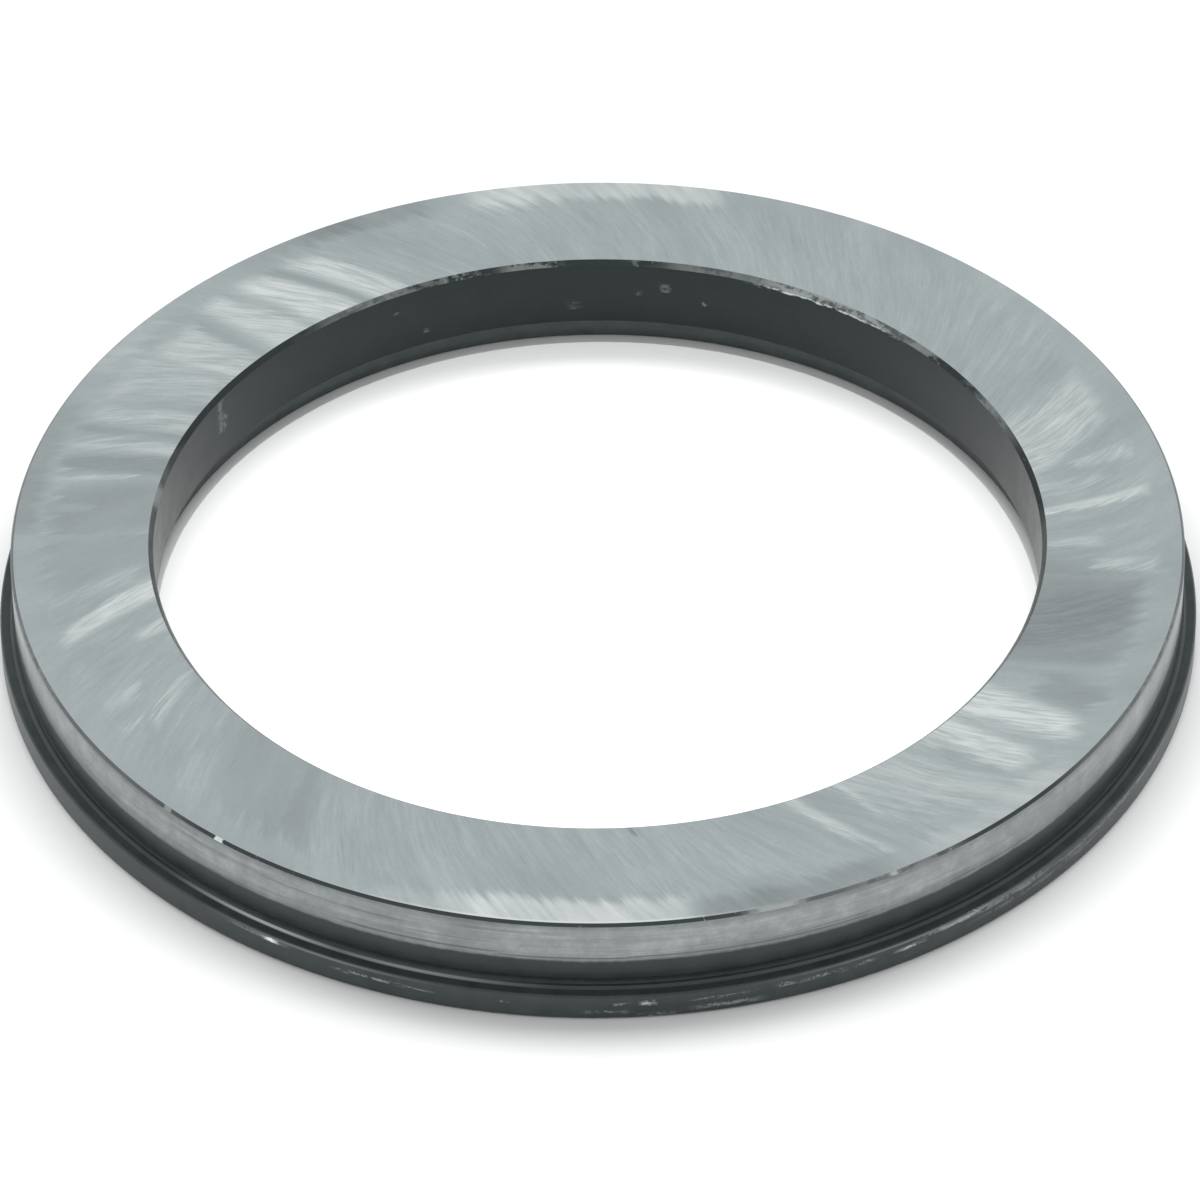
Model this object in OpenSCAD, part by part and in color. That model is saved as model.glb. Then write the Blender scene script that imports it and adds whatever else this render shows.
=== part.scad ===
// Closed single-direction thrust ball bearing.
// A channel-section upper ring turns on a ring of balls over a flanged lower ring.
// Units are millimetres. The origin is the centre of the bottom face, and +Z is
// the bearing's axis, pointing from the lower ring to the upper ring.

/* [Envelope] */
// Height over both rings
bearing_h = 12; // [11.8:0.1:13]
// Bore of the upper ring
upper_bore_d = 100; // [98:0.2:100.6]
// Outside diameter of the upper ring
upper_d = 132.1; // [131.6:0.1:132.4]
// Bore of the lower ring
lower_bore_d = 102.6; // [101:0.2:103.2]
// Outside diameter of the lower ring's flange
flange_d = 135.4; // [134.4:0.2:140]

/* [Rings] */
// Wall of the upper ring's outer skirt
outer_skirt_t = 2.45; // [2.2:0.05:2.6]
// Wall of the upper ring's inner skirt
inner_skirt_t = 1.7; // [1.4:0.1:1.9]
// Thickness of the lower ring's flange
flange_h = 3.2; // [3:0.05:3.3]
// Thickness of the lower ring between its flange and the rib
land_h = 3.5; // [3.4:0.05:3.6]
// Thickness of the lower ring between the rib and its bore
plate_h = 2.9; // [2.85:0.05:3]
// Running gap between the inner skirt and the lower ring
inner_gap = 0.2; // [0.1:0.05:0.4]
// Running gap between the outer skirt and the lower ring
outer_gap = 0.6; // [0.4:0.05:0.7]
// Width of each raceway rib
rib_w = 8.4; // [8:0.1:8.8]
// Chamfer of the flange's edges
flange_c = 0.2; // [0.1:0.05:0.4]
// Chamfer of the upper ring's outer edge
rim_c = 0.4; // [0.2:0.05:0.5]
// Chamfer at the mouth of the upper ring's bore
bore_c = 0.55; // [0.3:0.05:0.8]

/* [Balls] */
// Diameter of one ball
ball_d = 6; // [5.8:0.05:6]
// Number of balls
ball_count = 40; // [24:1:46]
// Gap between a ball and each raceway
race_gap = 0.02; // [0.01:0.01:0.05]
// Raceway radius as a share of the ball's diameter
race_share = 0.53; // [0.515:0.005:0.54]
// Height of the raceway shoulders above and below the middle of a ball
shoulder_h = 1.2; // [1.1:0.05:1.4]

/* [Cage] */
// Sheet thickness of the cage
cage_t = 0.9; // [0.6:0.1:1]
// Width of the cage from its bore to its outside
cage_w = 8.9; // [8.6:0.1:9.4]
// Gap between a ball and its pocket
pocket_gap = 0.1; // [0.05:0.01:0.15]

/* [Seals] */
// Height of the seals above the lower ring
seal_h = 1.5; // [1.4:0.1:1.6]
// Squeeze of a seal onto its rib
seal_squeeze = 0.05; // [0.02:0.01:0.1]
// Gap between a seal's lip and its skirt
lip_gap = 0.05; // [0.02:0.01:0.1]

/* [Hidden] */
$fn = 180;

// Small edges left by turning
edge_break = 0.25;
rib_c = 0.3;

// The land under the outer skirt ends in a short slope down to the flange
land_margin = 0.25;
land_slope_w = 0.25;

// Radii of the rings
upper_bore_r = upper_bore_d / 2;
upper_r = upper_d / 2;
lower_bore_r = lower_bore_d / 2;
flange_r = flange_d / 2;
channel_in_r = upper_bore_r + inner_skirt_t;
channel_out_r = upper_r - outer_skirt_t;
pitch_r = (channel_in_r + channel_out_r) / 2;
rib_in_r = pitch_r - rib_w / 2;
rib_out_r = pitch_r + rib_w / 2;
land_r = upper_r + land_margin;

// Heights of the rings
ball_z = bearing_h / 2;
inner_foot_z = plate_h + inner_gap;
outer_foot_z = land_h + outer_gap;
rib_z = ball_z - shoulder_h;
roof_z = ball_z + shoulder_h;

// The raceway's section is an arc a little larger than the ball's
ball_r = ball_d / 2;
groove_r = race_share * ball_d;
groove_shift = groove_r - ball_r - race_gap;

// The cage's rims fold down from its web, clear of the lower ring's rib
cage_rim_gap = 0.25;
cage_in_r = pitch_r - cage_w / 2;
cage_out_r = pitch_r + cage_w / 2;
cage_top_z = ball_z + cage_t / 2;
cage_rim_z = rib_z + cage_rim_gap;
pocket_r = ball_r + pocket_gap;

// A seal's foot sits on the lower ring, and its lip leans to the skirt
seal_foot_w = 0.95;
seal_foot_share = 0.6;
seal_foot_h = seal_foot_share * seal_h;
lip_t = 0.3;

function ball_angle(i) = 360 * (i - 1) / ball_count;
function ball_name(i) = str("ball_", i < 10 ? "0" : "", i);

// Flanged ring that stays still: a plate with a raised rib for the raceway
module lower_race() {
    color([0.20, 0.22, 0.22])
    rotate_extrude()
    difference() {
        polygon([
            [lower_bore_r + edge_break, 0],
            [flange_r - flange_c, 0],
            [flange_r, flange_c],
            [flange_r, flange_h - flange_c],
            [flange_r - flange_c, flange_h],
            [land_r + land_slope_w, flange_h],
            [land_r, land_h],
            [rib_out_r, land_h],
            [rib_out_r, rib_z - rib_c],
            [rib_out_r - rib_c, rib_z],
            [rib_in_r + rib_c, rib_z],
            [rib_in_r, rib_z - rib_c],
            [rib_in_r, plate_h],
            [lower_bore_r + edge_break, plate_h],
            [lower_bore_r, plate_h - edge_break],
            [lower_bore_r, edge_break]
        ]);
        translate([pitch_r, ball_z + groove_shift]) circle(r = groove_r);
    }
}

// Ring that turns: a channel whose two skirts close the bearing
module upper_race() {
    color([0.62, 0.64, 0.65])
    rotate_extrude()
    difference() {
        polygon([
            [upper_bore_r + edge_break, inner_foot_z],
            [channel_in_r, inner_foot_z],
            [channel_in_r, roof_z],
            [channel_out_r, roof_z],
            [channel_out_r, outer_foot_z],
            [upper_r - edge_break, outer_foot_z],
            [upper_r, outer_foot_z + edge_break],
            [upper_r, bearing_h - rim_c],
            [upper_r - rim_c, bearing_h],
            [upper_bore_r + bore_c, bearing_h],
            [upper_bore_r, bearing_h - bore_c],
            [upper_bore_r, inner_foot_z + edge_break]
        ]);
        translate([pitch_r, ball_z - groove_shift]) circle(r = groove_r);
    }
}

// Section of the folded sheet that the cage is pressed from
module cage_section() {
    polygon([
        [cage_in_r, cage_rim_z],
        [cage_in_r + cage_t, cage_rim_z],
        [cage_in_r + cage_t, cage_top_z - cage_t],
        [cage_out_r - cage_t, cage_top_z - cage_t],
        [cage_out_r - cage_t, cage_rim_z],
        [cage_out_r, cage_rim_z],
        [cage_out_r, cage_top_z - cage_t / 2],
        [cage_out_r - cage_t / 2, cage_top_z],
        [cage_in_r + cage_t / 2, cage_top_z],
        [cage_in_r, cage_top_z - cage_t / 2]
    ]);
}

// Pressed cage with one round pocket for each ball
module cage() {
    color([0.72, 0.62, 0.38])
    difference() {
        rotate_extrude() cage_section();
        for (i = [1 : ball_count])
            rotate([0, 0, ball_angle(i)])
            translate([pitch_r, 0, rib_z])
            cylinder(r = pocket_r, h = 2 * shoulder_h);
    }
}

// Section of a lip seal that stands at base_z: foot_r presses on the rib, lip_r nearly
// touches the skirt, and side is 1 where the seal faces outwards and -1 where it faces in
module seal_section(base_z, foot_r, lip_r, side) {
    polygon([
        [foot_r, base_z],
        [foot_r + side * seal_foot_w, base_z],
        [foot_r + side * seal_foot_w, base_z + seal_foot_h],
        [lip_r, base_z + seal_h - lip_t],
        [lip_r, base_z + seal_h],
        [foot_r + side * lip_t, base_z + seal_h - lip_t],
        [foot_r, base_z + seal_h - lip_t]
    ]);
}

// Seal between the rib and the outer skirt
module outer_seal() {
    color([0.09, 0.09, 0.10])
    rotate_extrude()
    seal_section(land_h, rib_out_r - seal_squeeze, channel_out_r - lip_gap, 1);
}

// Seal between the rib and the inner skirt
module inner_seal() {
    color([0.09, 0.09, 0.10])
    rotate_extrude()
    seal_section(plate_h, rib_in_r + seal_squeeze, channel_in_r + lip_gap, -1);
}

// One ball, at its place in the cage
module ball(i) {
    color([0.80, 0.81, 0.82])
    rotate([0, 0, ball_angle(i)])
    translate([pitch_r, 0, ball_z])
    sphere(d = ball_d, $fn = 48);
}

lower_race();
upper_race();
cage();
outer_seal();
inner_seal();
for (i = [1 : ball_count])
    ball(i);
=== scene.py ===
import math

import bpy
from mathutils import Euler, Matrix, Vector


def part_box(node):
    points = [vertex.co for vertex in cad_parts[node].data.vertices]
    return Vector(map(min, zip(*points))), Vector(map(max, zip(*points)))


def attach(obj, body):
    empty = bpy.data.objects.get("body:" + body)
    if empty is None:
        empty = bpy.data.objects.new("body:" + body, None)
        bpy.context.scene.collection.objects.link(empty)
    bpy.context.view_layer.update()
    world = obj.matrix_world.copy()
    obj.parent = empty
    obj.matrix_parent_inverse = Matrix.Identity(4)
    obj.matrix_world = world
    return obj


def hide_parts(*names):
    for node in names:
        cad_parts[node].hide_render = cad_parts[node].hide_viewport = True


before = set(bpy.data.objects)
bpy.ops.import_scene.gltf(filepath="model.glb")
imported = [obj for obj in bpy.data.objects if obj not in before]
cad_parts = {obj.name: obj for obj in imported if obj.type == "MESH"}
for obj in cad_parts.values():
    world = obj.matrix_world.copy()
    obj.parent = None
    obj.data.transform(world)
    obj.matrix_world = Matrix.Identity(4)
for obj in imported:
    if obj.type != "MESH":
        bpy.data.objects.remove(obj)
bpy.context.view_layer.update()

print("frame loaded:", len(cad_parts), "nodes")

mm = 0.001
halfTurn = 180
fullTurn = 360
mixSockets = {"first": 6, "second": 7, "result": 2}   # the colour sockets of a mix node


def plug(tree, socket, value):
    if isinstance(value, bpy.types.NodeSocket):
        tree.links.new(value, socket)
    else:
        socket.default_value = value


def mathStep(tree, operation, *values, clamp=False):
    node = tree.nodes.new("ShaderNodeMath")
    node.operation = operation
    node.use_clamp = clamp
    for socket, value in zip(node.inputs, values):
        plug(tree, socket, value)
    return node.outputs[0]


def vectorStep(tree, operation, *values):
    node = tree.nodes.new("ShaderNodeVectorMath")
    node.operation = operation
    for socket, value in zip(node.inputs, values):
        plug(tree, socket, value)
    return node.outputs["Value" if operation == "LENGTH" else "Vector"]


def ramp(tree, value, fromLow, fromHigh, toLow=0.0, toHigh=1.0, smooth=True):
    node = tree.nodes.new("ShaderNodeMapRange")
    node.interpolation_type = "SMOOTHSTEP" if smooth else "LINEAR"
    node.clamp = True
    for name, setting in (("Value", value), ("From Min", fromLow), ("From Max", fromHigh),
                          ("To Min", toLow), ("To Max", toHigh)):
        plug(tree, node.inputs[name], setting)
    return node.outputs["Result"]


def window(tree, value, low, high, soft):
    # 1 between low and high, fading over soft on both sides
    rise = ramp(tree, value, low - soft, low + soft)
    fall = ramp(tree, value, high - soft, high + soft, 1.0, 0.0)
    return mathStep(tree, "MULTIPLY", rise, fall)


def band(tree, angle, centre, half, soft):
    # 1 within half a width of an angle, in degrees
    away = mathStep(tree, "ABSOLUTE", mathStep(tree, "SUBTRACT", angle, centre))
    return ramp(tree, away, max(half - soft, 0.0), half + soft, 1.0, 0.0)


def noise(tree, vector, scale, detail=2.0, roughness=0.5):
    node = tree.nodes.new("ShaderNodeTexNoise")
    plug(tree, node.inputs["Vector"], vector)
    for name, setting in (("Scale", scale), ("Detail", detail), ("Roughness", roughness)):
        node.inputs[name].default_value = setting
    return node.outputs["Fac"]


def swing(tree, value, amount):
    # a noise of 0 to 1 turned into a push of minus to plus half of amount
    return mathStep(tree, "MULTIPLY", mathStep(tree, "SUBTRACT", value, 0.5), amount)


def weigh(tree, *parts):
    # sum of noises, each times its share
    first, share = parts[0]
    total = mathStep(tree, "MULTIPLY", first, share)
    for value, share in parts[1:]:
        total = mathStep(tree, "MULTIPLY_ADD", value, share, total)
    return total


def blend(tree, factor, first, second):
    node = tree.nodes.new("ShaderNodeMix")
    node.data_type = "RGBA"
    plug(tree, node.inputs["Factor"], factor)
    plug(tree, node.inputs[mixSockets["first"]], first)
    plug(tree, node.inputs[mixSockets["second"]], second)
    return node.outputs[mixSockets["result"]]


def tones(tree, factor, stops):
    node = tree.nodes.new("ShaderNodeValToRGB")
    ramps = node.color_ramp
    ramps.elements[0].position, ramps.elements[0].color = stops[0][0], (*stops[0][1], 1)
    ramps.elements[1].position, ramps.elements[1].color = stops[-1][0], (*stops[-1][1], 1)
    for place, colour in stops[1:-1]:
        ramps.elements.new(place).color = (*colour, 1)
    plug(tree, node.inputs["Fac"], factor)
    return node.outputs["Color"]


def combine(tree, x, y, z):
    node = tree.nodes.new("ShaderNodeCombineXYZ")
    for socket, value in zip(node.inputs, (x, y, z)):
        plug(tree, socket, value)
    return node.outputs[0]


def separate(tree, vector):
    node = tree.nodes.new("ShaderNodeSeparateXYZ")
    plug(tree, node.inputs[0], vector)
    return node.outputs


def newMaterial(name):
    # places come out in mm, on the object's own coordinates
    material = bpy.data.materials.new(name)
    material.use_nodes = True
    tree = material.node_tree
    shader = tree.nodes["Principled BSDF"]
    where = tree.nodes.new("ShaderNodeTexCoord").outputs["Object"]
    return material, tree, shader, vectorStep(tree, "MULTIPLY", where, (1 / mm, 1 / mm, 1 / mm))


def bumpInto(tree, shader, height, strength, depth):
    node = tree.nodes.new("ShaderNodeBump")
    node.inputs["Strength"].default_value = strength
    node.inputs["Distance"].default_value = depth * mm
    plug(tree, node.inputs["Height"], height)
    tree.links.new(node.outputs["Normal"], shader.inputs["Normal"])


def azimuthOf(tree, heading):
    parts = separate(tree, heading)
    return mathStep(tree, "DEGREES", mathStep(tree, "ARCTAN2", parts[1], parts[0]))


def aroundAxis(tree, where):
    # radius in mm, heading as a unit vector, azimuth in degrees and height in mm
    flat = vectorStep(tree, "MULTIPLY", where, (1, 1, 0))
    heading = vectorStep(tree, "NORMALIZE", flat)
    radius = vectorStep(tree, "LENGTH", flat)
    return radius, heading, azimuthOf(tree, heading), separate(tree, where)[2]


# hand grinding of the top face: a stroke leans from the radius and has an angle at each end
grinding = {
    "middle": 58.0,      # radius in mm where a streak has its named spacing
    "twist": -0.0095,    # radians per mm that the streaks lean from the radius
    "drift": 0.022,      # how much that lean wanders
    "driftNoise": (0.035, 1.0),
    "start": 50.5,       # radius where a stroke has its angle at the bore
    "length": 11.5,      # mm from there to where it has its angle at the outer end
}


def strokeCoordinates(tree, where):
    # turns each place about the axis by its radius, so that one direction follows the strokes
    flat = vectorStep(tree, "MULTIPLY", where, (1, 1, 0))
    radius = vectorStep(tree, "LENGTH", flat)
    wander = swing(tree, noise(tree, flat, *grinding["driftNoise"]), grinding["drift"])
    lean = mathStep(tree, "MULTIPLY", mathStep(tree, "SUBTRACT", radius, grinding["middle"]),
                    mathStep(tree, "ADD", wander, grinding["twist"]))
    turn = tree.nodes.new("ShaderNodeVectorRotate")
    turn.rotation_type = "Z_AXIS"
    plug(tree, turn.inputs["Vector"], flat)
    plug(tree, turn.inputs["Angle"], lean)
    return radius, vectorStep(tree, "NORMALIZE", turn.outputs[0])


def streaks(tree, heading, along, across, length, detail):
    # across: mm between streaks at the middle radius, length: mm along a streak
    around = vectorStep(tree, "SCALE", heading)
    around.node.inputs["Scale"].default_value = grinding["middle"] / across
    parts = separate(tree, around)
    drawn = combine(tree, parts[0], parts[1], mathStep(tree, "DIVIDE", along, length))
    return noise(tree, drawn, 1.0, detail)


# finish of the top face; streaks are given as spacing and length in mm and detail, and
# noises as scale per mm, detail and roughness
groundFace = {
    "dull": (0.300, 0.328, 0.338),
    "plain": (0.540, 0.602, 0.612),
    "bright": (0.950, 1.0, 0.985),
    "fine": (0.30, 3.0, 3.0),
    "middle": (1.2, 7.0, 3.0),
    "broad": (6.0, 14.0, 2.0),
    "cuts": (0.16, 3.2, 1.0),
    "cloud": (0.10, 3.0),
    "speckle": (1.6, 3.0, 0.7),
    "endRag": (6.0, 2.4),        # mm that middle and fine streaks shift the ends of a stroke
    "sideRag": (1.4, 0.7),       # degrees that they shift its sides
    "sideSoft": (0.35, 0.28),    # softness of its sides, and more per degree of its width
    "endSoft": (0.8, 0.12),
    "rubMiddle": 0.8,
    "rubRange": (0.25, 0.75, 0.60, 1.40),
    "smearRag": 4.0,
    "smearRange": (0.25, 0.75, 0.72, 1.28),
    "smearSoft": 1.9,
    "smearEdge": (-0.9, 1.1),
    "margin": (62.6, 63.6, 1.0, 0.4),   # the grain is calmer past this radius
    "grain": (0.46, 0.48),              # share of the fine and of the middle streaks
    "broadShare": 0.50,
    "cutRange": (0.68, 0.80),
    "cutShare": -0.34,
    "cloudShare": 0.22,
    "speckleShare": 0.24,
    "paintedHighlightWidth": (0.40, 0.15),           # mm inside the corner where the painted highlight starts and is full
    "paintedHighlightWhere": (-92.0, 17.0, 9.0),     # azimuth, half width and softness in degrees
    "paintedHighlightShare": 0.5,
    "roughness": (0.2, 0.9, 0.46, 0.34),
    "bump": (0.25, 0.012),
}

# hand-polished strokes, whose brightness also stands in for painted sheen off the scratches: angle at the
# bore and at the outer end, half width there and there, inner and outer radius, strength
strokes = [
    (3.0, 5.8, 0.6, 0.9, 49, 62.4, 0.55),
    (10.5, 13.0, 0.3, 1.4, 55, 62.6, 0.32),
    (16.5, 23.0, 5.8, 3.2, 48, 62.2, 0.42),
    (7.5, 9.5, 1.2, 0.8, 48, 58.0, 0.20),
    (118.3, 125.0, 2.4, 2.0, 48, 61.7, 0.62),
    (126.8, 131.4, 3.2, 1.8, 48, 62.0, 0.68),
    (134.0, 136.6, 3.4, 1.7, 48, 62.4, 0.50),
    (143.5, 144.0, 2.6, 3.2, 48, 61.0, 0.34),
    (148.0, 152.5, 4.0, 4.0, 48, 62.0, 0.18),
    (156.5, 159.5, 2.4, 1.0, 48, 62.0, 0.24),
    (162.5, 164.8, 1.4, 0.6, 48, 62.8, 0.24),
    (168.0, 170.8, 0.4, 0.5, 54, 62.4, 0.30),
    (175.0, 175.5, 0.4, 0.7, 57, 61.4, 0.26),
    (187.0, 191.5, 1.6, 0.7, 52, 62.0, 0.22),
    (191.0, 197.4, 1.9, 1.1, 48, 61.8, 0.62),
    (198.2, 202.0, 1.0, 0.4, 48, 54.2, 0.42),
    (208.0, 216.5, 1.0, 0.9, 51, 58.8, 0.34),
    (206.0, 209.5, 1.0, 1.0, 57, 62.0, 0.20),
    (210.0, 213.5, 0.5, 0.6, 60, 62.4, 0.18),
    (293.8, 299.3, 1.0, 0.5, 48, 63.0, 0.44),
    (300.5, 303.0, 0.5, 0.4, 48, 58.0, 0.26),
    (306.0, 309.5, 6.0, 5.0, 48, 63.0, 0.20),
    (316.6, 319.2, 3.0, 1.7, 48, 61.6, 0.66),
    (324.2, 325.6, 3.2, 1.9, 48, 62.4, 0.76),
    (353.0, 353.6, 0.5, 1.4, 56, 62.8, 0.34),
    (356.5, 358.5, 1.0, 1.2, 48, 57.0, 0.26),
    (342.5, 344.0, 11.0, 8.0, 48, 62.0, -0.40),
    (341.0, 346.5, 5.0, 4.0, 48, 62.0, -0.20),
    (330.5, 331.0, 2.5, 2.0, 56, 62.8, -0.34),
    (332.0, 336.5, 0.6, 0.8, 48, 62.0, 0.16),
    (350.0, 351.5, 0.5, 0.5, 49, 62.0, 0.14),
    (226.0, 234.0, 7.0, 6.0, 48, 62.0, -0.20),
    (233.0, 238.0, 1.0, 2.0, 49, 62.4, -0.14),
    (160.0, 161.8, 0.7, 0.7, 48, 62.0, -0.30),
    (166.0, 168.0, 1.8, 1.3, 48, 62.0, -0.44),
    (174.0, 177.0, 4.5, 4.5, 48, 62.0, -0.30),
    (183.0, 186.0, 4.0, 5.0, 48, 62.0, -0.16),
    (122.3, 128.0, 0.8, 0.6, 48, 62.0, -0.24),
    (321.6, 323.4, 0.6, 0.5, 53, 62.0, -0.26),
    (139.6, 140.6, 0.6, 0.8, 48, 60.0, -0.18),
    (273.4, 280.1, 0.20, 0.05, 48, 51.8, -1.1),
]

# smears along the outer edge, whose brightness also stands in for painted sheen: angle, half width, inner
# radius, strength
edgeSmears = [
    (90.0, 13.5, 62.5, 0.42),
    (84.0, 4.0, 62.6, 0.20),
    (99.5, 3.0, 61.4, 0.26),
    (115.0, 7.5, 62.6, -0.34),
    (122.0, 6.0, 63.4, -0.24),
    (149.0, 9.0, 63.4, 0.22),
    (160.0, 8.0, 63.4, -0.22),
    (174.0, 6.0, 63.4, -0.30),
    (252.0, 3.5, 63.4, 0.30),
    (257.5, 2.0, 62.9, 0.34),
    (265.0, 7.0, 62.0, 0.66),
    (275.0, 3.6, 62.0, 0.50),
    (289.0, 9.5, 62.7, -0.42),
    (286.0, 2.5, 60.6, -0.20),
    (312.0, 10.0, 63.2, 0.24),
    (345.0, 12.0, 63.2, -0.12),
]


def signedAngle(angle):
    # 0 to 360 degrees written as -180 to 180, which is how azimuths come out
    return angle - fullTurn * (angle > halfTurn)


def strokeShape(tree, stroke, radius, angle, reach):
    atBore, atEnd, halfBore, halfEnd, inner, outer, _ = stroke
    g = groundFace
    lean = (atEnd - atBore) / grinding["length"]
    widen = (halfEnd - halfBore) / grinding["length"]
    centre = mathStep(tree, "MULTIPLY_ADD", radius, lean, signedAngle(atBore) - lean * grinding["start"])
    half = mathStep(tree, "MULTIPLY_ADD", radius, widen, halfBore - widen * grinding["start"])
    away = mathStep(tree, "ABSOLUTE", mathStep(tree, "SUBTRACT", angle, centre))
    inside = mathStep(tree, "DIVIDE", mathStep(tree, "SUBTRACT", half, away),
                      g["sideSoft"][0] + g["sideSoft"][1] * halfBore)
    ends = window(tree, reach, inner, outer, g["endSoft"][0] + g["endSoft"][1] * halfBore)
    return mathStep(tree, "MULTIPLY", ramp(tree, inside, -1.0, 1.0), ends)


def groundFaceMaterial():
    g = groundFace
    material, tree, shader, where = newMaterial("groundFace")
    radius, heading = strokeCoordinates(tree, where)
    fine = streaks(tree, heading, radius, *g["fine"])
    middle = streaks(tree, heading, radius, *g["middle"])
    broad = streaks(tree, heading, radius, *g["broad"])
    bearing = aroundAxis(tree, where)[2]

    # the ends and sides of strokes are ragged because the streaks shift them
    reach = mathStep(tree, "ADD", radius, swing(tree, middle, g["endRag"][0]))
    reach = mathStep(tree, "ADD", reach, swing(tree, fine, g["endRag"][1]))
    shift = mathStep(tree, "ADD", swing(tree, middle, g["sideRag"][0]), swing(tree, fine, g["sideRag"][1]))
    angle = mathStep(tree, "ADD", bearing, shift)
    rubbed = ramp(tree, mathStep(tree, "ADD", fine, swing(tree, middle, g["rubMiddle"])), *g["rubRange"])
    polishAndSheen = swing(tree, broad, g["broadShare"])
    # the strokes and smears are real polishing, and their brightness is partly painted sheen
    for stroke in strokes:
        shape = mathStep(tree, "MULTIPLY", strokeShape(tree, stroke, radius, angle, reach), rubbed)
        polishAndSheen = mathStep(tree, "MULTIPLY_ADD", shape, stroke[-1], polishAndSheen)
    smear = mathStep(tree, "ADD", radius, swing(tree, middle, g["smearRag"]))
    rubbed = ramp(tree, middle, *g["smearRange"])
    for centre, half, inner, strength in edgeSmears:
        shape = mathStep(tree, "MULTIPLY", band(tree, angle, signedAngle(centre), half, g["smearSoft"]),
                         ramp(tree, smear, inner + g["smearEdge"][0], inner + g["smearEdge"][1]))
        shape = mathStep(tree, "MULTIPLY", shape, rubbed)
        polishAndSheen = mathStep(tree, "MULTIPLY_ADD", shape, strength, polishAndSheen)

    # streaks show most inside the calm outer margin
    busy = ramp(tree, radius, *g["margin"])
    grain = mathStep(tree, "ADD", swing(tree, fine, g["grain"][0]), swing(tree, middle, g["grain"][1]))
    polishAndSheen = mathStep(tree, "MULTIPLY_ADD", grain, busy, polishAndSheen)
    cuts = ramp(tree, streaks(tree, heading, radius, *g["cuts"]), *g["cutRange"])
    polishAndSheen = mathStep(tree, "MULTIPLY_ADD", cuts, g["cutShare"], polishAndSheen)
    cloud = swing(tree, noise(tree, where, *g["cloud"]), g["cloudShare"])
    speckle = swing(tree, noise(tree, where, *g["speckle"]), g["speckleShare"])
    tone = mathStep(tree, "ADD", polishAndSheen, mathStep(tree, "ADD", cloud, speckle))

    # painted highlight: the corner at the outer edge is painted bright in front
    corner = upperRing["outside"] - upperRing["edge"]
    paintedHighlight = ramp(tree, radius, corner - g["paintedHighlightWidth"][0], corner - g["paintedHighlightWidth"][1])
    paintedHighlight = mathStep(tree, "MULTIPLY", paintedHighlight, band(tree, bearing, *g["paintedHighlightWhere"]))
    tone = mathStep(tree, "MULTIPLY_ADD", paintedHighlight, g["paintedHighlightShare"], tone)
    tone = mathStep(tree, "MULTIPLY_ADD", tone, 0.5, 0.5)
    plug(tree, shader.inputs["Base Color"],
         tones(tree, tone, [(0.0, g["dull"]), (0.5, g["plain"]), (1.0, g["bright"])]))
    shader.inputs["Metallic"].default_value = 1.0
    plug(tree, shader.inputs["Roughness"], ramp(tree, tone, *g["roughness"], smooth=False))
    bumpInto(tree, shader, mathStep(tree, "ADD", fine, middle), *g["bump"])
    return material


# dark phosphate coat over turned steel
coat = {
    "deep": (0.0104, 0.0124, 0.0126),
    "pale": (0.0240, 0.0278, 0.0282),
    "bare": (0.46, 0.49, 0.49, 1),
    # bare steel at nicks, painted near white as a glint
    "nickGlint": (0.97, 0.98, 0.96, 1),
    "sheen": (0.86, 1.0, 1.02, 1),   # tint of what the coat mirrors
    "mottle": (0.35, 4.0, 0.6),
    "grain": (6.0, 3.0, 0.6),
    "turned": (14.0, 0.16, 2.0),
    "mottleShare": 0.5,
    "grainShare": 0.25,
    "turnedShare": 0.25,
    "range": (0.3, 0.7),
    "roughness": (0.27, 0.42),
    "bump": (0.3, 0.02),
}

# one coat, paled or darkened on each part as painted light and shade: darker in the upper bore, paler on the
# rim, the flange, its top and the lower bore; how pale it is, in red, green and blue, and how strongly it
# mirrors
coatOn = {
    "rim": {"shade": (1.40, 1.66, 1.70)},
    "bore": {"shade": (0.62, 0.66, 0.66), "mirror": 0.25},
    "flange": {"shade": (2.3, 2.3, 2.3), "mirror": 0.5},
    "flangeTop": {"shade": (2.4, 2.4, 2.4), "mirror": 0.2},
    "lowerBore": {"shade": (3.0, 3.0, 3.0), "mirror": 0.4},
}

# how rubbed and chipped places break up, and how soft the painted highlights are
wear = {
    "rag": (1.5, 4.0, 0.7),
    "drag": (2.2, 0.4, 4.0),
    "pits": (2.4, 3.0, 0.7),
    "specks": (1.7, 6.0, 0.7),
    "pitDrag": 0.8,
    "ragAngle": 2.6,
    "ragHeight": 1.1,
    "nickRag": 0.5,
    "speckRange": (0.74, 0.79, 0.0, 0.5),
    "pitRange": (0.32, 0.56),
    "sideSoft": (0.7, 3.0),     # share of a mark's half width, and the most in degrees
    "endSoft": 0.10,
    "gleamSoft": 0.05,
}


def phosphateLook(tree, where, heading, along, shade):
    # colour, roughness and relief of the coat before any wear
    mottle = noise(tree, where, *coat["mottle"])
    grain = noise(tree, where, *coat["grain"])
    turned = streaks(tree, heading, along, *coat["turned"])
    tone = weigh(tree, (mottle, coat["mottleShare"]), (grain, coat["grainShare"]),
                 (turned, coat["turnedShare"]))
    deep, pale = [tuple(part * share for part, share in zip(coat[name], shade))
                  for name in ("deep", "pale")]
    low, high = coat["range"]
    colour = tones(tree, tone, [(low, deep), (high, pale)])
    rough = ramp(tree, tone, low, high, *coat["roughness"], smooth=False)
    return colour, rough, mathStep(tree, "ADD", grain, turned)


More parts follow.
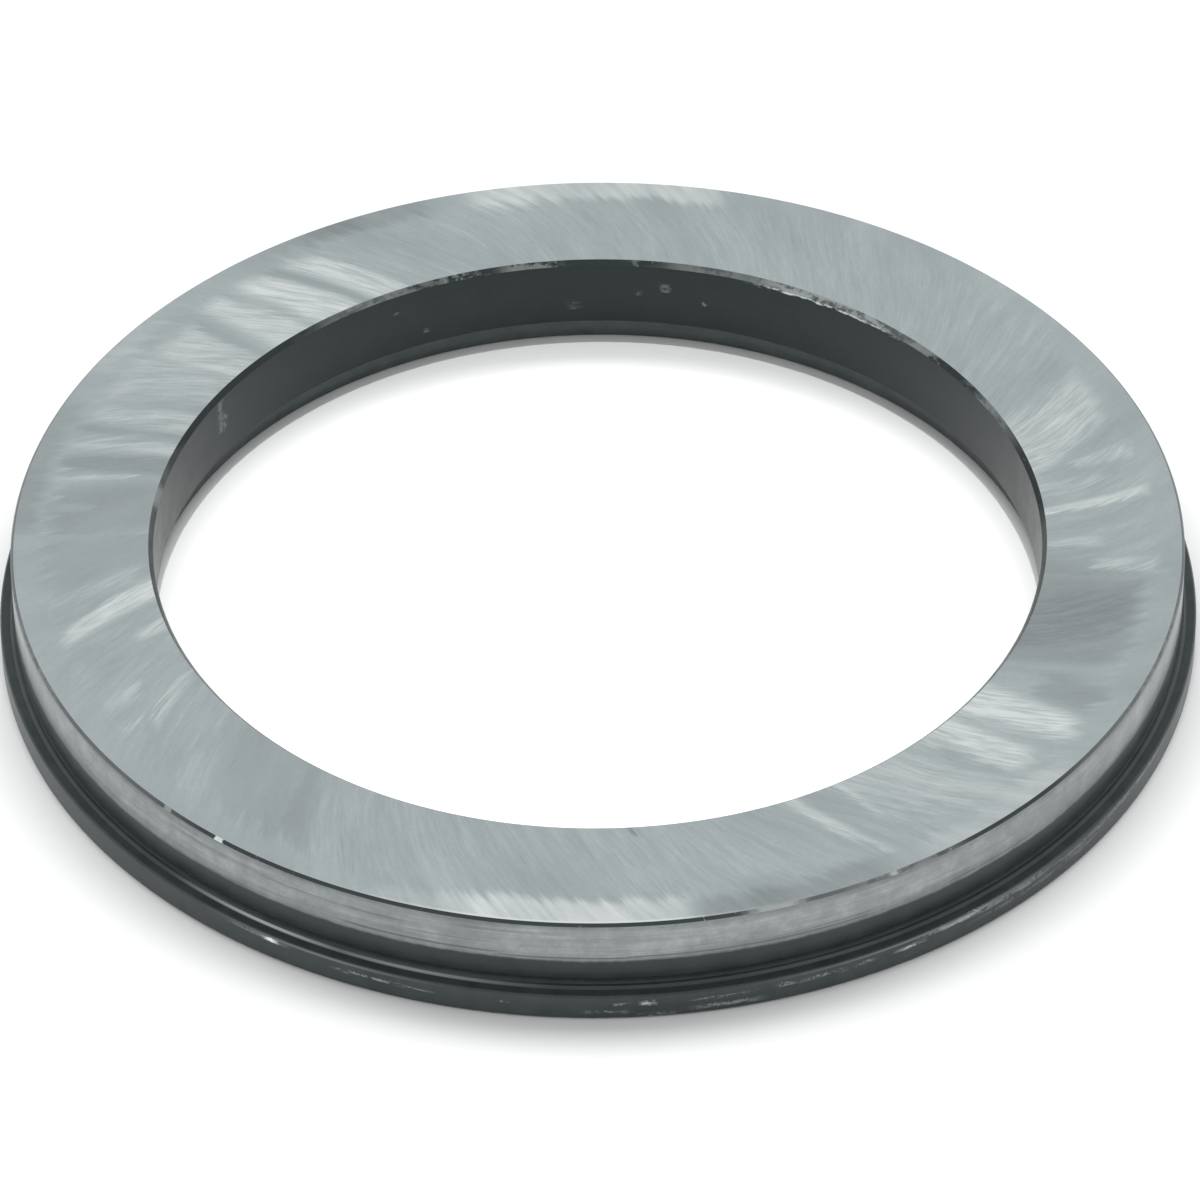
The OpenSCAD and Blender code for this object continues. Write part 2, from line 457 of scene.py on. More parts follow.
def wearMask(tree, where, heading, angle, height, marks):
    # rubbed or chipped places: angle, half width in degrees, lowest, highest in mm, strength
    rag = noise(tree, where, *wear["rag"])
    drag = streaks(tree, heading, height, *wear["drag"])
    pits = mathStep(tree, "ADD", noise(tree, where, *wear["pits"]), swing(tree, drag, wear["pitDrag"]))
    ragAngle = mathStep(tree, "ADD", angle, swing(tree, rag, wear["ragAngle"]))
    ragHeight = mathStep(tree, "ADD", height, swing(tree, drag, wear["ragHeight"]))
    wearAndGleam = ramp(tree, noise(tree, where, *wear["specks"]), *wear["speckRange"])
    softShare, softMost = wear["sideSoft"]
    for centre, half, low, high, strength in marks:
        around = band(tree, ragAngle, centre, half, min(half * softShare, softMost))
        shape = mathStep(tree, "MULTIPLY", around, window(tree, ragHeight, low, high, wear["endSoft"]))
        wearAndGleam = mathStep(tree, "MAXIMUM", wearAndGleam, mathStep(tree, "MULTIPLY", shape, strength))
    return mathStep(tree, "MULTIPLY", wearAndGleam, ramp(tree, pits, *wear["pitRange"]))


def gleamMask(tree, angle, height, gleams):
    # painted highlights along edges, and painted glints on nicks: angle, half width in degrees, lowest,
    # highest in mm, strength
    shine = None
    for centre, half, low, high, strength in gleams:
        shape = mathStep(tree, "MULTIPLY", band(tree, angle, centre, half * 0.5, half * 0.5),
                         window(tree, height, low, high, wear["gleamSoft"]))
        shape = mathStep(tree, "MULTIPLY", shape, strength)
        shine = shape if shine is None else mathStep(tree, "MAXIMUM", shine, shape)
    return shine


def phosphateMaterial(name, part, marks=(), gleams=(), nicks=()):
    material, tree, shader, where = newMaterial(name)
    radius, heading, angle, height = aroundAxis(tree, where)
    along = mathStep(tree, "ADD", radius, height)
    colour, rough, relief = phosphateLook(tree, where, heading, along, coatOn[part]["shade"])
    wearAndGleam = wearMask(tree, where, heading, angle, height, marks)
    # painted highlights along the edges, laid on as bare steel
    if gleams:
        wearAndGleam = mathStep(tree, "MAXIMUM", wearAndGleam, gleamMask(tree, angle, height, gleams))
    colour = blend(tree, wearAndGleam, colour, coat["bare"])
    if nicks:
        # nicks show bare steel, painted near white as a glint
        rag = swing(tree, noise(tree, where, *wear["rag"]), wear["nickRag"])
        nickGlint = gleamMask(tree, angle, mathStep(tree, "ADD", height, rag), nicks)
        colour = blend(tree, nickGlint, colour, coat["nickGlint"])
        wearAndGleam = mathStep(tree, "MAXIMUM", wearAndGleam, nickGlint)
    plug(tree, shader.inputs["Base Color"], colour)
    plug(tree, shader.inputs["Metallic"], wearAndGleam)
    plug(tree, shader.inputs["Roughness"], rough)
    shader.inputs["Specular IOR Level"].default_value = coatOn[part]["mirror"]
    shader.inputs["Specular Tint"].default_value = coat["sheen"]
    bumpInto(tree, shader, mathStep(tree, "SUBTRACT", relief, wearAndGleam), *coat["bump"])
    return material


# ground band round the outside of the upper ring, with the coat below its border
rim = {
    "border": 6.83,
    "dull": (0.165, 0.176, 0.178),
    "plain": (0.288, 0.305, 0.307),
    "bright": (0.42, 0.445, 0.445),
    "stops": (0.15, 0.5, 0.75),
    "lines": (7.0, 0.12, 3.0),
    "bands": (16.0, 0.9, 2.0),
    "smudge": (0.30, 4.0, 0.6),
    "scuff": (1.1, 5.0, 0.7),
    "linesShare": 0.34,
    "bandsShare": 0.34,
    "smudgeShare": 0.55,
    "scuffShare": 0.30,
    "level": -0.265,
    "footFade": (1.5, -0.16, 0.0),         # mm above the border, tone there and higher up
    "topFade": (-1.5, -0.3, 0.0, -0.22),   # mm below the top, tone there and nearer the top
    "scoreSoft": (1.5, 0.06),
    "scoreRag": 0.2,
    "shortRag": (1.1, 1.5, 3.0),
    "longRag": (9.0, 4.0, 2.0),
    "ragShares": (0.35, 0.4),
    "borderSoft": 0.2,
    "nicks": (1.9, 6.0, 0.7),
    "nickRange": (0.735, 0.79, 0.0, 0.6),
    "roughness": (0.33, 0.33, 0.33, 1),
    "bump": (0.2, 0.012),
}

# darker scored lines on the ground band: angle, half width, low, high, strength
rimScores = [
    (-107.0, 7.0, 7.45, 7.68, 0.45),
    (-93.0, 6.0, 7.15, 7.32, 0.35),
    (-76.0, 11.0, 7.30, 7.50, 0.45),
    (-70.0, 6.0, 7.75, 7.85, 0.25),
    (-50.0, 5.0, 7.20, 7.50, 0.20),
    (-116.0, 8.0, 9.60, 9.90, 0.16),
    (-104.0, 4.0, 8.70, 8.95, 0.16),
    (-128.0, 6.0, 9.80, 10.3, 0.14),
    (-98.0, 5.0, 10.4, 10.8, 0.14),
]


def groundRimMaterial():
    material, tree, shader, where = newMaterial("groundRim")
    _, heading, angle, height = aroundAxis(tree, where)
    coatColour, coatRough, relief = phosphateLook(tree, where, heading, height, coatOn["rim"]["shade"])
    lines = streaks(tree, heading, height, *rim["lines"])
    bands = streaks(tree, heading, height, *rim["bands"])
    smudge = noise(tree, where, *rim["smudge"])
    scuff = noise(tree, where, *rim["scuff"])
    tone = weigh(tree, (bands, rim["bandsShare"]), (lines, rim["linesShare"]),
                 (smudge, rim["smudgeShare"]), (scuff, rim["scuffShare"]))
    tone = mathStep(tree, "ADD", tone, rim["level"])
    fadeHeight, fadeLow, fadeHigh = rim["footFade"]
    tone = mathStep(tree, "ADD", tone, ramp(tree, height, rim["border"], rim["border"] + fadeHeight,
                                            fadeLow, fadeHigh, smooth=False))
    fadeStart, fadeEnd, fadeLow, fadeHigh = rim["topFade"]
    tone = mathStep(tree, "ADD", tone, ramp(tree, height, upperRing["top"] + fadeStart,
                                            upperRing["top"] + fadeEnd, fadeLow, fadeHigh))
    sideSoft, lineSoft = rim["scoreSoft"]
    for centre, half, low, high, strength in rimScores:
        level = mathStep(tree, "ADD", height, swing(tree, lines, rim["scoreRag"]))
        shape = mathStep(tree, "MULTIPLY", band(tree, angle, centre, half, sideSoft),
                         window(tree, level, low, high, lineSoft))
        tone = mathStep(tree, "MULTIPLY_ADD", shape, -strength, tone)
    bare = tones(tree, tone, list(zip(rim["stops"], (rim["dull"], rim["plain"], rim["bright"]))))
    shortRag = streaks(tree, heading, height, *rim["shortRag"])
    longRag = streaks(tree, heading, height, *rim["longRag"])
    ragged = mathStep(tree, "ADD", swing(tree, shortRag, rim["ragShares"][0]),
                      swing(tree, longRag, rim["ragShares"][1]))
    ground = ramp(tree, mathStep(tree, "ADD", height, ragged),
                  rim["border"] - rim["borderSoft"], rim["border"] + rim["borderSoft"])
    nicks = ramp(tree, noise(tree, where, *rim["nicks"]), *rim["nickRange"])
    bareShare = mathStep(tree, "MAXIMUM", ground, nicks)
    plug(tree, shader.inputs["Base Color"], blend(tree, bareShare, coatColour, bare))
    plug(tree, shader.inputs["Metallic"], bareShare)
    plug(tree, shader.inputs["Roughness"], blend(tree, ground, coatRough, rim["roughness"]))
    bumpInto(tree, shader, mathStep(tree, "ADD", lines, relief), *rim["bump"])
    return material


# turned chamfers; patchy says how far the tone wanders along one
edgeSteel = {
    "deep": (0.075, 0.085, 0.087, 1),
    "plain": (0.215, 0.228, 0.230, 1),
    # bare steel at rubs and nicks, painted near white as a glint
    "wearAndGleam": (0.93, 0.96, 0.95, 1),
    "patchy": 0.6,
}
boreEdgeSteel = {
    "deep": (0.055, 0.064, 0.064, 1),
    "plain": (0.170, 0.190, 0.185, 1),
    "wearAndGleam": (0.50, 0.54, 0.53, 1),
    "patchy": 1.3,
}
chamfer = {
    "rag": (1.3, 4.0, 0.7),
    "mottle": (3.0, 0.7, 4.0),
    "plainShare": 0.9,
    "speckRange": (0.64, 0.74, 0.0, 0.5),
    "ragAngle": 2.4,
    "chipRag": 0.8,
    "chipRange": (0.36, 0.56),
    "sideSoft": 0.5,
    "longRub": 3.0,    # a rub with more half width than this is patchy, a small nick is clean
    "roughness": (0.3, 0.7, 0.36, 0.5),
    "bump": (0.25, 0.015),
}

# darker lengths of the two chamfers: angle, half width in degrees, softness
edgeDark = [(-104.0, 30.0, 9.0), (-47.0, 8.0, 6.0)]
boreEdgeDark = [(98.0, 17.0, 5.0), (147.0, 17.0, 6.0), (35.0, 5.0, 3.0), (10.0, 8.0, 4.0)]

# rubbed spots and nicks on them, laid on as bare steel, which on the outer chamfer is painted near white as
# a glint: angle, half width in degrees, strength
edgeRubs = [
    (-128.4, 0.42, 1.0),
    (-134.9, 0.42, 0.32),
    (-73.6, 2.4, 0.48),
    (-61.5, 0.35, 0.5),
    (-60.0, 5.0, 0.14),
    (-160.0, 7.0, 0.10),
    (-20.0, 8.0, 0.12),
]
boreEdgeRubs = [
    (56.5, 10.5, 0.85),
    (74.0, 5.0, 0.26),
    (41.0, 3.5, 0.45),
    (27.0, 5.0, 0.34),
    (84.5, 0.3, 0.25),
    (99.0, 3.6, 0.50),
    (108.5, 3.2, 0.55),
    (119.0, 8.0, 0.30),
    (172.0, 2.0, 0.60),
    (-155.0, 9.0, 0.20),
]


def edgeMaterial(name, look, darkParts, rubs):
    material, tree, shader, where = newMaterial(name)
    _, heading, angle, height = aroundAxis(tree, where)
    rag = noise(tree, where, *chamfer["rag"])
    mottle = streaks(tree, heading, height, *chamfer["mottle"])
    dark = band(tree, angle, *darkParts[0])
    for part in darkParts[1:]:
        dark = mathStep(tree, "MAXIMUM", dark, band(tree, angle, *part))
    share = mathStep(tree, "ADD", mathStep(tree, "SUBTRACT", chamfer["plainShare"], dark),
                     swing(tree, mottle, look["patchy"]), clamp=True)
    colour = blend(tree, share, look["deep"], look["plain"])
    wearAndGleam = ramp(tree, rag, *chamfer["speckRange"])
    ragAngle = mathStep(tree, "ADD", angle, swing(tree, rag, chamfer["ragAngle"]))
    chip = mathStep(tree, "ADD", mottle, swing(tree, rag, chamfer["chipRag"]))
    chip = ramp(tree, chip, *chamfer["chipRange"])
    for centre, half, strength in rubs:
        shape = band(tree, ragAngle, centre, half, half * chamfer["sideSoft"])
        shape = mathStep(tree, "MULTIPLY", shape, strength)
        if half > chamfer["longRub"]:
            shape = mathStep(tree, "MULTIPLY", shape, chip)
        wearAndGleam = mathStep(tree, "MAXIMUM", wearAndGleam, shape)
    plug(tree, shader.inputs["Base Color"], blend(tree, wearAndGleam, colour, look["wearAndGleam"]))
    shader.inputs["Metallic"].default_value = 1.0
    plug(tree, shader.inputs["Roughness"], ramp(tree, mottle, *chamfer["roughness"], smooth=False))
    bumpInto(tree, shader, rag, *chamfer["bump"])
    return material


# turned steel in the gap between the rings, wiped but never fully coated
undercut = {
    "low": (0.10, 0.11, 0.11),
    "high": (0.17, 0.185, 0.185),
    "turned": (12.0, 0.12, 3.0),
    "stain": (0.6, 4.0, 0.6),
    "shares": (0.5, 0.5),
    "range": (0.3, 0.7),
    "roughness": (0.38, 0.55),
    "metal": 0.0,
    "bump": (0.2, 0.015),
}

cageLook = {
    "low": (0.30, 0.30, 0.29),
    "high": (0.52, 0.52, 0.51),
    "turned": (12.0, 0.12, 3.0),
    "stain": (0.5, 4.0, 0.6),
    "shares": (0.5, 0.5),
    "range": (0.3, 0.7),
    "roughness": (0.28, 0.46),
    "metal": 1.0,
    "bump": (0.2, 0.02),
}


def turnedMaterial(name, look, upright):
    # upright adds the height, so that the lines also run round a wall
    material, tree, shader, where = newMaterial(name)
    radius, heading, _, height = aroundAxis(tree, where)
    along = mathStep(tree, "ADD", radius, height) if upright else radius
    turned = streaks(tree, heading, along, *look["turned"])
    stain = noise(tree, where, *look["stain"])
    tone = weigh(tree, (stain, look["shares"][1]), (turned, look["shares"][0]))
    low, high = look["range"]
    plug(tree, shader.inputs["Base Color"], tones(tree, tone, [(low, look["low"]), (high, look["high"])]))
    shader.inputs["Metallic"].default_value = look["metal"]
    plug(tree, shader.inputs["Roughness"], ramp(tree, tone, low, high, *look["roughness"], smooth=False))
    bumpInto(tree, shader, turned, *look["bump"])
    return material


ballLook = {
    "low": (0.62, 0.64, 0.65),
    "high": (0.78, 0.79, 0.80),
    "haze": (1.2, 4.0),
    "track": (1.0, 2.0),
    "trackStretch": (0.4, 0.4, 9.0),
    "shares": (0.6, 0.4),
    "range": (0.3, 0.7),
    "roughness": (0.06, 0.16),
    "bump": (0.1, 0.004),
}


def ballMaterial():
    material, tree, shader, where = newMaterial("ballSteel")
    haze = noise(tree, where, *ballLook["haze"])
    track = noise(tree, vectorStep(tree, "MULTIPLY", where, ballLook["trackStretch"]), *ballLook["track"])
    tone = weigh(tree, (track, ballLook["shares"][1]), (haze, ballLook["shares"][0]))
    low, high = ballLook["range"]
    plug(tree, shader.inputs["Base Color"],
         tones(tree, tone, [(low, ballLook["low"]), (high, ballLook["high"])]))
    shader.inputs["Metallic"].default_value = 1.0
    plug(tree, shader.inputs["Roughness"], ramp(tree, tone, low, high, *ballLook["roughness"], smooth=False))
    bumpInto(tree, shader, haze, *ballLook["bump"])
    return material


rubberLook = {
    "low": (0.006, 0.006, 0.007),
    "high": (0.018, 0.018, 0.019),
    "grain": (5.0, 5.0, 0.6),
    "film": (0.35, 3.0),
    "range": (0.3, 0.7),
    "roughness": (0.35, 0.65, 0.28, 0.62),
    "bump": (0.3, 0.03),
}


def rubberMaterial():
    material, tree, shader, where = newMaterial("sealRubber")
    grain = noise(tree, where, *rubberLook["grain"])
    film = noise(tree, where, *rubberLook["film"])
    low, high = rubberLook["range"]
    plug(tree, shader.inputs["Base Color"],
         tones(tree, grain, [(low, rubberLook["low"]), (high, rubberLook["high"])]))
    plug(tree, shader.inputs["Roughness"], ramp(tree, film, *rubberLook["roughness"]))
    bumpInto(tree, shader, grain, *rubberLook["bump"])
    return material


# shaping by hand; angles in degrees, sizes in mm
lathe = {
    "segments": 720,
    "mergeWithin": 0.002,
    "sharpFrom": 25,       # corners sharper than this are rounded
    "edgeRound": 0.05,
    "roundSegments": 2,
    "smoothBelow": 32,
}
flatFrom = 0.9     # a face whose normal is steeper than this lies flat
wallBelow = 0.3    # and one below this stands upright


def turnRing(name, outline):
    # one circle is pulled round the section, as on a lathe, and closed on itself
    radius, height = outline[0]
    bpy.ops.object.select_all(action="DESELECT")
    bpy.ops.mesh.primitive_circle_add(vertices=lathe["segments"], radius=radius * mm, fill_type="NOTHING",
                                      location=(0, 0, height * mm))
    ring = bpy.context.object
    ring.name = ring.data.name = name
    bpy.ops.object.transform_apply(location=True, rotation=True, scale=True)
    bpy.ops.object.select_all(action="DESELECT")
    ring.select_set(True)
    bpy.context.view_layer.objects.active = ring
    bpy.ops.object.mode_set(mode="EDIT")
    bpy.ops.mesh.select_all(action="SELECT")
    for nextRadius, nextHeight in outline[1:] + outline[:1]:
        climb = (nextHeight - height) * mm
        bpy.ops.mesh.extrude_region_move(TRANSFORM_OT_translate={"value": (0, 0, climb)})
        grow = nextRadius / radius
        bpy.ops.transform.resize(value=(grow, grow, 1), center_override=(0, 0, 0))
        radius, height = nextRadius, nextHeight
    bpy.ops.mesh.select_all(action="SELECT")
    bpy.ops.mesh.remove_doubles(threshold=lathe["mergeWithin"] * mm)
    bpy.ops.mesh.normals_make_consistent(inside=False)
    bpy.ops.mesh.select_all(action="DESELECT")
    bpy.ops.mesh.select_mode(type="EDGE")   # so that only the corners' own edges are picked
    bpy.ops.mesh.edges_select_sharp(sharpness=math.radians(lathe["sharpFrom"]))
    bpy.ops.mesh.bevel(offset=lathe["edgeRound"] * mm, segments=lathe["roundSegments"], affect="EDGES")
    bpy.ops.mesh.select_mode(type="VERT")
    bpy.ops.object.mode_set(mode="OBJECT")
    return ring


def arc(centreRadius, centreHeight, radius, fromAngle, toAngle, steps):
    points = []
    for i in range(steps + 1):
        a = math.radians(fromAngle + (toAngle - fromAngle) * i / steps)
        points.append((centreRadius + radius * math.cos(a), centreHeight + radius * math.sin(a)))
    return points


def finishFaces(ring, material, chosen):
    # gives a finish to the faces that a test on radius, height and normal picks
    ring.data.materials.append(material)
    slotIndex = len(ring.data.materials) - 1
    for face in ring.data.polygons:
        centre = Vector(face.center) / mm
        if chosen(math.hypot(centre.x, centre.y), centre.z, face.normal):
            face.material_index = slotIndex


def isChamfer(normal):
    return wallBelow < normal.z < flatFrom


# rubbed places on the coat: angle, half width in degrees, lowest, highest in mm, strength
upperWear = [
    (56.5, 10.5, 11.20, 11.6, 0.9),
    (150.2, 0.5, 6.8, 11.4, 0.22),
    (149.2, 0.3, 6.2, 9.0, 0.20),
    (80.5, 0.6, 8.0, 9.2, 0.18),
    (84.0, 0.3, 7.4, 7.8, 0.14),
    (75.2, 0.2, 6.6, 7.2, 0.30),
    (93.0, 0.7, 5.2, 6.2, 0.10),
    (113.6, 0.3, 5.1, 5.5, 0.20),
    (118.0, 0.4, 8.9, 9.3, 0.14),
]
lowerWear = [
    (-123.0, 2.6, 2.5, 3.0, 0.40),
    (-111.5, 2.6, 1.8, 2.1, 0.70),
    (-107.0, 1.2, 1.8, 2.1, 0.55),
    (-99.0, 0.3, 1.7, 2.0, 0.40),
    (-88.2, 0.5, 1.9, 2.3, 0.55),
    (-86.0, 0.7, 1.7, 2.4, 0.80),
    (-79.0, 2.4, 1.9, 2.2, 0.45),
    (-73.0, 0.7, 2.0, 2.4, 0.50),
    (-69.5, 1.6, 1.9, 2.3, 0.70),
    (-65.2, 0.7, 2.0, 2.4, 0.50),
    (-60.6, 1.3, 2.0, 2.4, 0.75),
    (-89.6, 1.6, 0.9, 1.2, 0.55),
    (-78.5, 2.4, 0.7, 1.2, 0.60),
    (-85.0, 1.4, 0.3, 0.7, 0.40),
    (-55.0, 3.4, 2.5, 3.1, 0.75),
    (-49.0, 4.5, 2.3, 2.9, 0.40),
    (-44.0, 9.0, 1.4, 1.9, 0.20),
    (-37.0, 6.0, 2.2, 2.6, 0.30),
    (-29.0, 6.0, 2.4, 2.9, 0.30),
]
lowerNicks = [
    (-121.6, 1.1, 2.40, 2.90, 1.0),
    (-86.0, 0.5, 1.95, 2.25, 0.6),
    (-60.6, 0.9, 2.10, 2.30, 0.5),
]
# painted highlights: thin bright lines along the edge of the land and of the flange top, in front: angle,
# half width in degrees, lowest, highest in mm, strength
lowerPaintedHighlights = [
    (-123.0, 13.0, 3.26, 3.52, 0.95),
    (-108.0, 15.0, 3.26, 3.52, 0.55),
    (-117.0, 15.0, 2.92, 3.12, 0.34),
    (-69.0, 11.0, 3.26, 3.52, 0.07),
    (-58.0, 22.0, 2.94, 3.10, 0.36),
]


def outsideOf(name):
    low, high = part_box(name)
    return min(-low.x, high.x, -low.y, high.y) / mm


# sizes in mm, as in the frame; the outsides and the top come from the frame's boxes
upperRing = {
    "bore": 50.0,
    "outside": outsideOf("upper_race"),
    "top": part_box("upper_race")[1].z / mm,
    "innerFoot": 3.1,
    "outerFoot": 4.1,
    "roof": 7.2,
    "innerSkirt": 1.7,
    "outerSkirt": 2.45,
    "edge": 0.32,
    "boreEdge": 0.55,
    "footEdge": 0.25,
}
lowerRing = {
    "bore": 51.3,
    "flange": outsideOf("lower_race"),
    "flangeTop": 3.2,
    "landTop": 3.5,
    "plateTop": 2.9,
    "ribTop": 4.8,
    "land": 66.3,
    "underSkirt": 0.35,    # the land stays coated this far under the skirt
    "landSlope": 0.25,
    "ribWidth": 8.4,
    "edge": 0.2,
    "boreEdge": 0.25,
    "ribEdge": 0.3,
}
race = {"pitch": 57.65, "radius": 3.18, "lowerHeight": 6.16, "upperHeight": 5.84, "steps": 10}
near = {"wall": 0.05, "bore": 0.02, "level": 0.02, "top": 0.2, "foot": 0.1}   # reach of the face tests


def makeUpperRing():
    u = upperRing
    channelIn, channelOut = u["bore"] + u["innerSkirt"], u["outside"] - u["outerSkirt"]
    half = math.degrees(math.asin((u["roof"] - race["upperHeight"]) / race["radius"]))
    outline = [
        (u["bore"] + u["footEdge"], u["innerFoot"]),
        (channelIn, u["innerFoot"]),
        (channelIn, u["roof"]),
    ]
    outline += arc(race["pitch"], race["upperHeight"], race["radius"], halfTurn - half, half, race["steps"])
    outline += [
        (channelOut, u["roof"]),
        (channelOut, u["outerFoot"]),
        (u["outside"] - u["footEdge"], u["outerFoot"]),
        (u["outside"], u["outerFoot"] + u["footEdge"]),
        (u["outside"], u["top"] - u["edge"]),
        (u["outside"] - u["edge"], u["top"]),
        (u["bore"] + u["boreEdge"], u["top"]),
        (u["bore"], u["top"] - u["boreEdge"]),
        (u["bore"], u["innerFoot"] + u["footEdge"]),
    ]
    ring = turnRing("upperRing", outline)
    # the upper ring's coat is the darkened copy, painted shade for the bore
    ring.data.materials.append(phosphateMaterial("phosphateUpper", "bore", upperWear))
    finishFaces(ring, groundFaceMaterial(),
                lambda r, z, n: n.z > flatFrom and z > u["top"] - near["top"])
    finishFaces(ring, groundRimMaterial(),
                lambda r, z, n: r > u["outside"] - near["wall"] and abs(n.z) < wallBelow)
    finishFaces(ring, edgeMaterial("edgeSteel", edgeSteel, edgeDark, edgeRubs),
                lambda r, z, n: r > u["outside"] - u["edge"] and isChamfer(n))
    finishFaces(ring, turnedMaterial("undercutUpper", undercut, True),
                lambda r, z, n: n.z < -flatFrom and z < u["outerFoot"] + near["foot"])
    finishFaces(ring, edgeMaterial("boreEdgeSteel", boreEdgeSteel, boreEdgeDark, boreEdgeRubs),
                lambda r, z, n: r < u["bore"] + u["boreEdge"] and isChamfer(n))
    bpy.ops.object.shade_smooth_by_angle(angle=math.radians(lathe["smoothBelow"]))
    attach(ring, "upper_ring")
    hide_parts("upper_race")
    print("upper ring made")


def makeLowerRing():
    w = lowerRing
    ribIn, ribOut = race["pitch"] - w["ribWidth"] / 2, race["pitch"] + w["ribWidth"] / 2
    half = math.degrees(math.asin((race["lowerHeight"] - w["ribTop"]) / race["radius"]))
    outline = [
        (w["bore"] + w["boreEdge"], 0),
        (w["flange"] - w["edge"], 0),
        (w["flange"], w["edge"]),
        (w["flange"], w["flangeTop"] - w["edge"]),
        (w["flange"] - w["edge"], w["flangeTop"]),
        (w["land"] + w["landSlope"], w["flangeTop"]),
        (w["land"], w["landTop"]),
        (w["land"] - w["underSkirt"], w["landTop"]),
        (ribOut, w["landTop"]),
        (ribOut, w["ribTop"] - w["ribEdge"]),
        (ribOut - w["ribEdge"], w["ribTop"]),
    ]
    outline += arc(race["pitch"], race["lowerHeight"], race["radius"], -half, half - halfTurn, race["steps"])
    outline += [
        (ribIn + w["ribEdge"], w["ribTop"]),
        (ribIn, w["ribTop"] - w["ribEdge"]),
        (ribIn, w["plateTop"]),
        (w["bore"] + w["boreEdge"], w["plateTop"]),
        (w["bore"], w["plateTop"] - w["boreEdge"]),
        (w["bore"], w["boreEdge"]),
    ]
    ring = turnRing("lowerRing", outline)
    # the lower ring's coat is a paled copy, painted light on the flange
    ring.data.materials.append(phosphateMaterial("phosphateLower", "flange", lowerWear, lowerPaintedHighlights,
                                                 lowerNicks))
    finishFaces(ring, turnedMaterial("undercutLower", undercut, True),
                lambda r, z, n: n.z > flatFrom and abs(z - w["landTop"]) < near["level"]
                and r < w["land"] - w["underSkirt"])
    # a still paler copy, painted light in the lower bore
    finishFaces(ring, phosphateMaterial("phosphateLowerBore", "lowerBore"),
                lambda r, z, n: r < w["bore"] + near["bore"] and abs(n.z) < wallBelow)
    # a paled copy that mirrors less, painted light and shade on the flange top
    finishFaces(ring, phosphateMaterial("phosphateFlangeTop", "flangeTop"),
                lambda r, z, n: n.z > flatFrom and abs(z - w["flangeTop"]) < near["level"])
    bpy.ops.object.shade_smooth_by_angle(angle=math.radians(lathe["smoothBelow"]))
    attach(ring, "lower_ring")
    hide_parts("lower_race")
    print("lower ring made")


def dressNodes():
    balls, rubber = ballMaterial(), rubberMaterial()
    cage = turnedMaterial("cageSteel", cageLook, False)
    looks = {"cage": cage, "outer_seal": rubber, "inner_seal": rubber}
    for name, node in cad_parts.items():
        look = balls if name.startswith("ball_") else looks.get(name)
        if look:
            node.data.materials.clear()
            node.data.materials.append(look)
    print("balls, cage and seals dressed")


# floor and light, in metres and watts
stageLook = {
    "floorWidth": 4.0,
    "floorDrop": 0.02,    # mm below the rings, so that the two flats never flicker
    "floorColour": (0.86, 0.865, 0.865, 1),
    "floorRoughness": 0.9,
    "floorMirror": 0.1,
    "sky": 0.70,
    "skyColour": (0.985, 0.995, 1.0, 1),
    "keyPlace": (0, 1.22, 2.74),
    "keySize": (3.4, 1.1),
    "keyPower": 78.0,
    "borePower": 18.0,
    "boreHeight": 1.0,
    "boreCone": 6.8,
    "boreBlend": 0.15,
    "boreLampRadius": 0.012,
}


def makeFloor():
    bpy.ops.object.select_all(action="DESELECT")
    bpy.ops.mesh.primitive_plane_add(size=stageLook["floorWidth"],
                                     location=(0, 0, -stageLook["floorDrop"] * mm))
    floor = bpy.context.object
    floor.name = "floor"
    material = bpy.data.materials.new("paleFloor")
    material.use_nodes = True
    shader = material.node_tree.nodes["Principled BSDF"]
    shader.inputs["Base Color"].default_value = stageLook["floorColour"]
    shader.inputs["Roughness"].default_value = stageLook["floorRoughness"]
    shader.inputs["Specular IOR Level"].default_value = stageLook["floorMirror"]
    floor.data.materials.append(material)


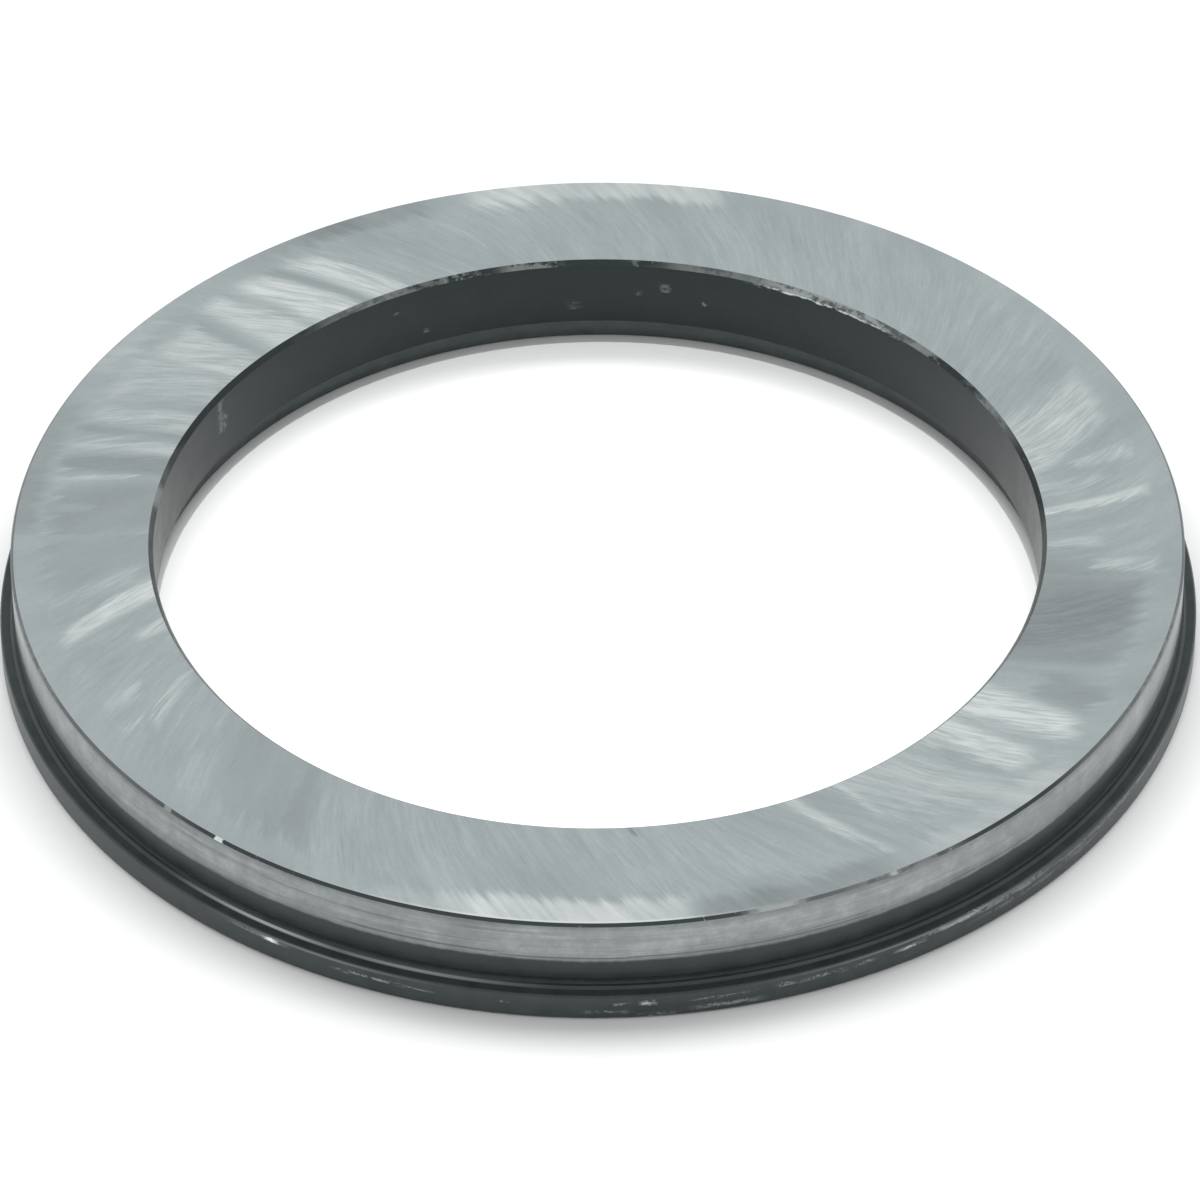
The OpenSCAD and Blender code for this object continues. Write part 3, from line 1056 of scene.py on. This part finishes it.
def placeLamp(lamp, place):
    # the lamps are hidden from mirrored rays, so the steel mirrors the plain tent
    lampObject = bpy.data.objects.new(lamp.name, lamp)
    bpy.context.scene.collection.objects.link(lampObject)
    lampObject.location = place
    lampObject.rotation_euler = (-Vector(place)).to_track_quat("-Z", "Y").to_euler()
    lampObject.visible_glossy = False


def makeStage():
    makeFloor()
    world = bpy.data.worlds.new("tent")
    world.use_nodes = True
    back = world.node_tree.nodes["Background"]
    back.inputs["Color"].default_value = stageLook["skyColour"]
    back.inputs["Strength"].default_value = stageLook["sky"]
    bpy.context.scene.world = world

    key = bpy.data.lights.new("keyPanel", "AREA")
    key.shape = "RECTANGLE"
    key.size, key.size_y = stageLook["keySize"]
    key.energy = stageLook["keyPower"]
    placeLamp(key, stageLook["keyPlace"])

    # a narrow lamp straight above keeps the floor inside the bore as pale as the floor outside
    lamp = bpy.data.lights.new("boreLamp", "SPOT")
    lamp.energy, lamp.shadow_soft_size = stageLook["borePower"], stageLook["boreLampRadius"]
    lamp.spot_size, lamp.spot_blend = math.radians(stageLook["boreCone"]), stageLook["boreBlend"]
    placeLamp(lamp, (0, 0, stageLook["boreHeight"]))
    bpy.context.scene.view_settings.view_transform = "Standard"
    print("stage made")


# camera, with lens and sensor in mm, angles in degrees and places in metres
shot = {
    "lens": 220.8,
    "sensor": 36.0,
    "elevation": 39.76,
    "roll": -0.46,
    "place": (0.00022, -0.64208, 0.53600),
    "nearest": 0.05,
    "farthest": 20,
}


def makeCamera():
    data = bpy.data.cameras.new("shotCamera")
    data.lens = shot["lens"]
    data.sensor_width = shot["sensor"]
    data.clip_start, data.clip_end = shot["nearest"], shot["farthest"]
    camera = bpy.data.objects.new("shotCamera", data)
    bpy.context.scene.collection.objects.link(camera)
    tilt = Euler((math.radians(90 - shot["elevation"]), 0, 0)).to_matrix()
    roll = Matrix.Rotation(math.radians(shot["roll"]), 3, "Z")
    camera.matrix_world = Matrix.Translation(shot["place"]) @ (tilt @ roll).to_4x4()
    bpy.context.scene.camera = camera
    print("camera made")


makeCamera()
makeUpperRing()
makeLowerRing()
dressNodes()
makeStage()
